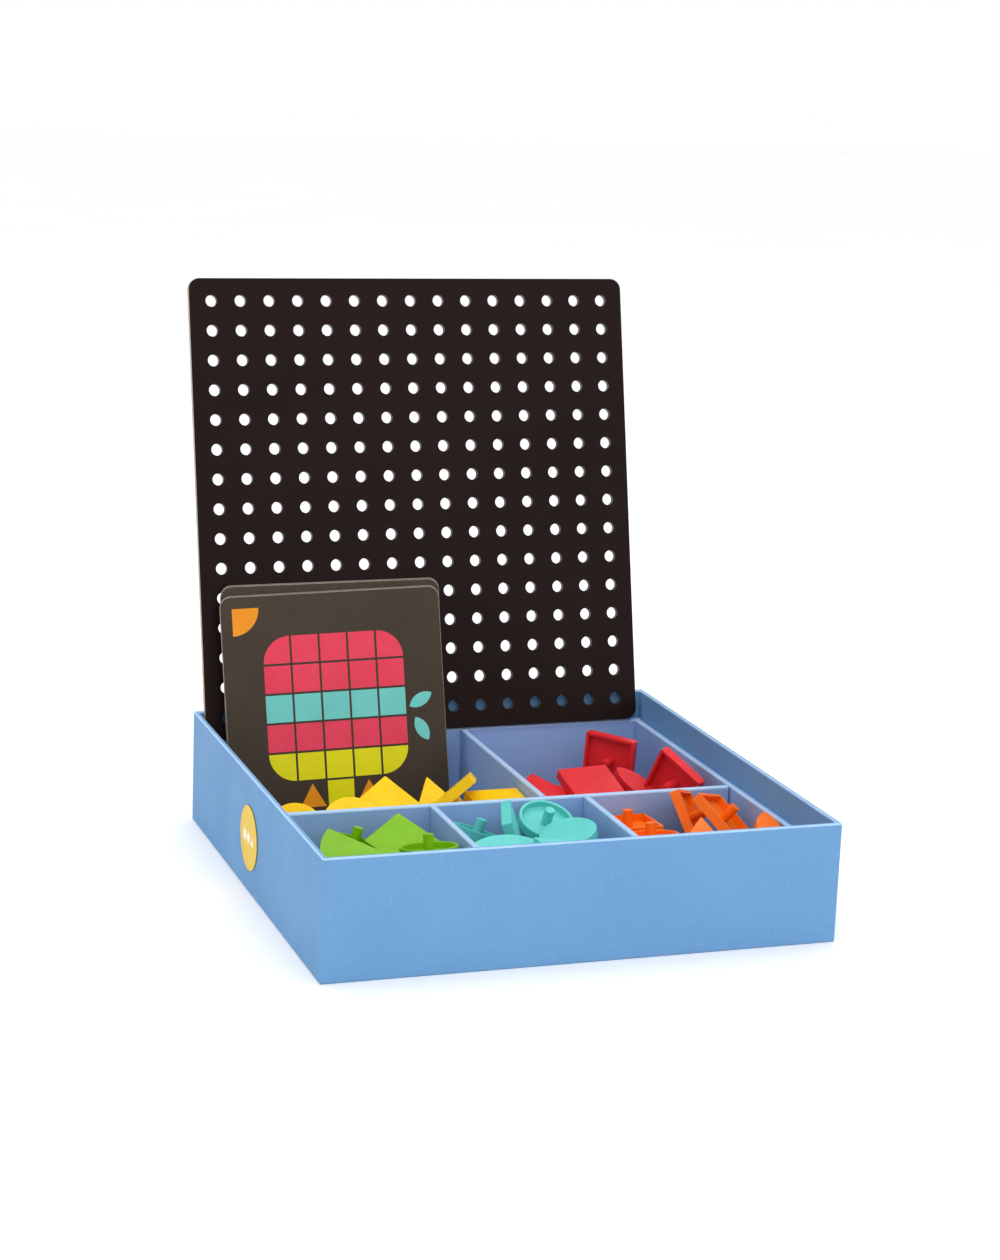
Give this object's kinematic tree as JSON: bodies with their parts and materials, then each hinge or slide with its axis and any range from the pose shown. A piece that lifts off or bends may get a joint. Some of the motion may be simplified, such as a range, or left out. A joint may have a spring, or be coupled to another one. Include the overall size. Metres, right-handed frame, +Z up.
{
  "type": "peg mosaic set",
  "caption": "Open tray box with a divided insert that holds coloured hollow-backed peg tiles by colour, with a leaning pegboard and a stack of pattern cards.",
  "frame": {"origin": "centre of the box's underside", "axes": "+Z up from the table, +X to the right and +Y to the back, where the pegboard leans on the back wall"},
  "size_m": [0.2606, 0.3115, 0.2878],
  "materials": {
    "blue_card": "light blue paper wrapped over card, matt",
    "sticker": "yellow printed paper, satin",
    "board": "dark brown painted fibreboard, satin",
    "card": "dark brown printed card, satin",
    "red": "red moulded plastic",
    "yellow": "yellow moulded plastic",
    "green": "green moulded plastic",
    "turquoise": "turquoise moulded plastic",
    "orange": "orange moulded plastic"
  },
  "bodies": {
    "tray": {"box_base": "blue_card", "box_front_wall": "blue_card", "box_back_wall": "blue_card", "box_left_wall": "blue_card", "box_right_wall": "blue_card", "insert_left_rim": "blue_card", "insert_right_rim": "blue_card", "insert_front_rim": "blue_card", "insert_back_rim": "blue_card", "cross_divider": "blue_card", "long_divider": "blue_card", "short_divider_left": "blue_card", "short_divider_right": "blue_card", "side_sticker": "sticker", "green_tile_heap": "green", "turquoise_tile_heap": "turquoise", "orange_tile_heap": "orange", "yellow_tile_heap": "yellow", "red_tile_heap": "red"},
    "board": {"pegboard": "board"},
    "card_1": {"pattern_card_1": "card"},
    "card_2": {"pattern_card_2": "card"},
    "card_3": {"pattern_card_3": "card"},
    "card_4": {"pattern_card_4": "card"},
    "card_5": {"pattern_card_5": "card"},
    "card_6": {"pattern_card_6": "card"},
    "green_leaf_left_body": {"green_leaf_left": "green"},
    "green_square_tilted_body": {"green_square_tilted": "green"},
    "green_quarter_front_body": {"green_quarter_front": "green"},
    "green_disc_upturned_body": {"green_disc_upturned": "green"},
    "green_leaf_front_body": {"green_leaf_front": "green"},
    "turquoise_square_on_edge_body": {"turquoise_square_on_edge": "turquoise"},
    "turquoise_disc_upturned_body": {"turquoise_disc_upturned": "turquoise"},
    "turquoise_disc_face_up_body": {"turquoise_disc_face_up": "turquoise"},
    "turquoise_leaf_left_body": {"turquoise_leaf_left": "turquoise"},
    "turquoise_quarter_front_body": {"turquoise_quarter_front": "turquoise"},
    "turquoise_triangle_front_body": {"turquoise_triangle_front": "turquoise"},
    "orange_square_upturned_body": {"orange_square_upturned": "orange"},
    "orange_disc_upturned_body": {"orange_disc_upturned": "orange"},
    "orange_square_leaning_body": {"orange_square_leaning": "orange"},
    "orange_square_hollow_up_body": {"orange_square_hollow_up": "orange"},
    "orange_triangle_low_body": {"orange_triangle_low": "orange"},
    "orange_leaf_front_body": {"orange_leaf_front": "orange"},
    "yellow_square_flat_body": {"yellow_square_flat": "yellow"},
    "yellow_disc_left_body": {"yellow_disc_left": "yellow"},
    "yellow_disc_middle_body": {"yellow_disc_middle": "yellow"},
    "yellow_leaf_left_body": {"yellow_leaf_left": "yellow"},
    "yellow_square_tilted_body": {"yellow_square_tilted": "yellow"},
    "yellow_triangle_peak_body": {"yellow_triangle_peak": "yellow"},
    "yellow_square_on_edge_body": {"yellow_square_on_edge": "yellow"},
    "red_square_left_body": {"red_square_left": "red"},
    "red_triangle_left_body": {"red_triangle_left": "red"},
    "red_square_upright_body": {"red_square_upright": "red"},
    "red_square_tilted_body": {"red_square_tilted": "red"},
    "red_quarter_upturned_body": {"red_quarter_upturned": "red"},
    "red_square_leaning_body": {"red_square_leaning": "red"},
    "red_leaf_middle_body": {"red_leaf_middle": "red"}
  },
  "joints": [
    {"name": "pegboard_lift", "type": "slide", "parent": "tray", "child": "board", "axis": [0, 0.2334, 0.9724], "range_m": [0, 0.1]},
    {"name": "card_1_lift", "type": "slide", "parent": "tray", "child": "card_1", "axis": [0, 0.2334, 0.9724], "range_m": [0, 0.13]},
    {"name": "card_2_lift", "type": "slide", "parent": "tray", "child": "card_2", "axis": [0, 0.2334, 0.9724], "range_m": [0, 0.13]},
    {"name": "card_3_lift", "type": "slide", "parent": "tray", "child": "card_3", "axis": [0, 0.2334, 0.9724], "range_m": [0, 0.13]},
    {"name": "card_4_lift", "type": "slide", "parent": "tray", "child": "card_4", "axis": [0, 0.2334, 0.9724], "range_m": [0, 0.13]},
    {"name": "card_5_lift", "type": "slide", "parent": "tray", "child": "card_5", "axis": [0, 0.2334, 0.9724], "range_m": [0, 0.13]},
    {"name": "card_6_lift", "type": "slide", "parent": "tray", "child": "card_6", "axis": [0, 0.2334, 0.9724], "range_m": [0, 0.13]},
    {"name": "green_leaf_left_lift", "type": "slide", "parent": "tray", "child": "green_leaf_left_body", "axis": [0, 0, 1], "range_m": [0, 0.06]},
    {"name": "green_square_tilted_lift", "type": "slide", "parent": "tray", "child": "green_square_tilted_body", "axis": [0, 0, 1], "range_m": [0, 0.06]},
    {"name": "green_quarter_front_lift", "type": "slide", "parent": "tray", "child": "green_quarter_front_body", "axis": [0, 0, 1], "range_m": [0, 0.06]},
    {"name": "green_disc_upturned_lift", "type": "slide", "parent": "green_square_tilted_body", "child": "green_disc_upturned_body", "axis": [0, 0, 1], "range_m": [0, 0.06]},
    {"name": "green_leaf_front_lift", "type": "slide", "parent": "green_quarter_front_body", "child": "green_leaf_front_body", "axis": [0, 0, 1], "range_m": [0, 0.06]},
    {"name": "turquoise_square_on_edge_lift", "type": "slide", "parent": "tray", "child": "turquoise_square_on_edge_body", "axis": [0, 0, 1], "range_m": [0, 0.06]},
    {"name": "turquoise_disc_upturned_lift", "type": "slide", "parent": "turquoise_square_on_edge_body", "child": "turquoise_disc_upturned_body", "axis": [0, 0, 1], "range_m": [0, 0.06]},
    {"name": "turquoise_disc_face_up_lift", "type": "slide", "parent": "turquoise_disc_upturned_body", "child": "turquoise_disc_face_up_body", "axis": [0, 0, 1], "range_m": [0, 0.06]},
    {"name": "turquoise_leaf_left_lift", "type": "slide", "parent": "tray", "child": "turquoise_leaf_left_body", "axis": [0, 0, 1], "range_m": [0, 0.06]},
    {"name": "turquoise_quarter_front_lift", "type": "slide", "parent": "tray", "child": "turquoise_quarter_front_body", "axis": [0, 0, 1], "range_m": [0, 0.06]},
    {"name": "turquoise_triangle_front_lift", "type": "slide", "parent": "tray", "child": "turquoise_triangle_front_body", "axis": [0, 0, 1], "range_m": [0, 0.06]},
    {"name": "orange_square_upturned_lift", "type": "slide", "parent": "tray", "child": "orange_square_upturned_body", "axis": [0, 0, 1], "range_m": [0, 0.06]},
    {"name": "orange_disc_upturned_lift", "type": "slide", "parent": "tray", "child": "orange_disc_upturned_body", "axis": [0, 0, 1], "range_m": [0, 0.06]},
    {"name": "orange_square_leaning_lift", "type": "slide", "parent": "tray", "child": "orange_square_leaning_body", "axis": [0, 0, 1], "range_m": [0, 0.06]},
    {"name": "orange_square_hollow_up_lift", "type": "slide", "parent": "orange_square_leaning_body", "child": "orange_square_hollow_up_body", "axis": [0, 0, 1], "range_m": [0, 0.06]},
    {"name": "orange_triangle_low_lift", "type": "slide", "parent": "tray", "child": "orange_triangle_low_body", "axis": [0, 0, 1], "range_m": [0, 0.06]},
    {"name": "orange_leaf_front_lift", "type": "slide", "parent": "tray", "child": "orange_leaf_front_body", "axis": [0, 0, 1], "range_m": [0, 0.06]},
    {"name": "yellow_square_flat_lift", "type": "slide", "parent": "tray", "child": "yellow_square_flat_body", "axis": [0, 0, 1], "range_m": [0, 0.06]},
    {"name": "yellow_disc_left_lift", "type": "slide", "parent": "tray", "child": "yellow_disc_left_body", "axis": [0, 0, 1], "range_m": [0, 0.06]},
    {"name": "yellow_disc_middle_lift", "type": "slide", "parent": "tray", "child": "yellow_disc_middle_body", "axis": [0, 0, 1], "range_m": [0, 0.06]},
    {"name": "yellow_leaf_left_lift", "type": "slide", "parent": "tray", "child": "yellow_leaf_left_body", "axis": [0, 0, 1], "range_m": [0, 0.06]},
    {"name": "yellow_square_tilted_lift", "type": "slide", "parent": "tray", "child": "yellow_square_tilted_body", "axis": [0, 0, 1], "range_m": [0, 0.06]},
    {"name": "yellow_triangle_peak_lift", "type": "slide", "parent": "tray", "child": "yellow_triangle_peak_body", "axis": [0, 0, 1], "range_m": [0, 0.06]},
    {"name": "yellow_square_on_edge_lift", "type": "slide", "parent": "yellow_square_flat_body", "child": "yellow_square_on_edge_body", "axis": [0, 0, 1], "range_m": [0, 0.06]},
    {"name": "red_square_left_lift", "type": "slide", "parent": "tray", "child": "red_square_left_body", "axis": [0, 0, 1], "range_m": [0, 0.06]},
    {"name": "red_triangle_left_lift", "type": "slide", "parent": "tray", "child": "red_triangle_left_body", "axis": [0, 0, 1], "range_m": [0, 0.06]},
    {"name": "red_square_upright_lift", "type": "slide", "parent": "tray", "child": "red_square_upright_body", "axis": [0, 0, 1], "range_m": [0, 0.06]},
    {"name": "red_square_tilted_lift", "type": "slide", "parent": "red_square_left_body", "child": "red_square_tilted_body", "axis": [0, 0, 1], "range_m": [0, 0.06]},
    {"name": "red_quarter_upturned_lift", "type": "slide", "parent": "tray", "child": "red_quarter_upturned_body", "axis": [0, 0, 1], "range_m": [0, 0.06]},
    {"name": "red_square_leaning_lift", "type": "slide", "parent": "tray", "child": "red_square_leaning_body", "axis": [0, 0, 1], "range_m": [0, 0.06]},
    {"name": "red_leaf_middle_lift", "type": "slide", "parent": "tray", "child": "red_leaf_middle_body", "axis": [0, 0, 1], "range_m": [0, 0.06]}
  ]
}
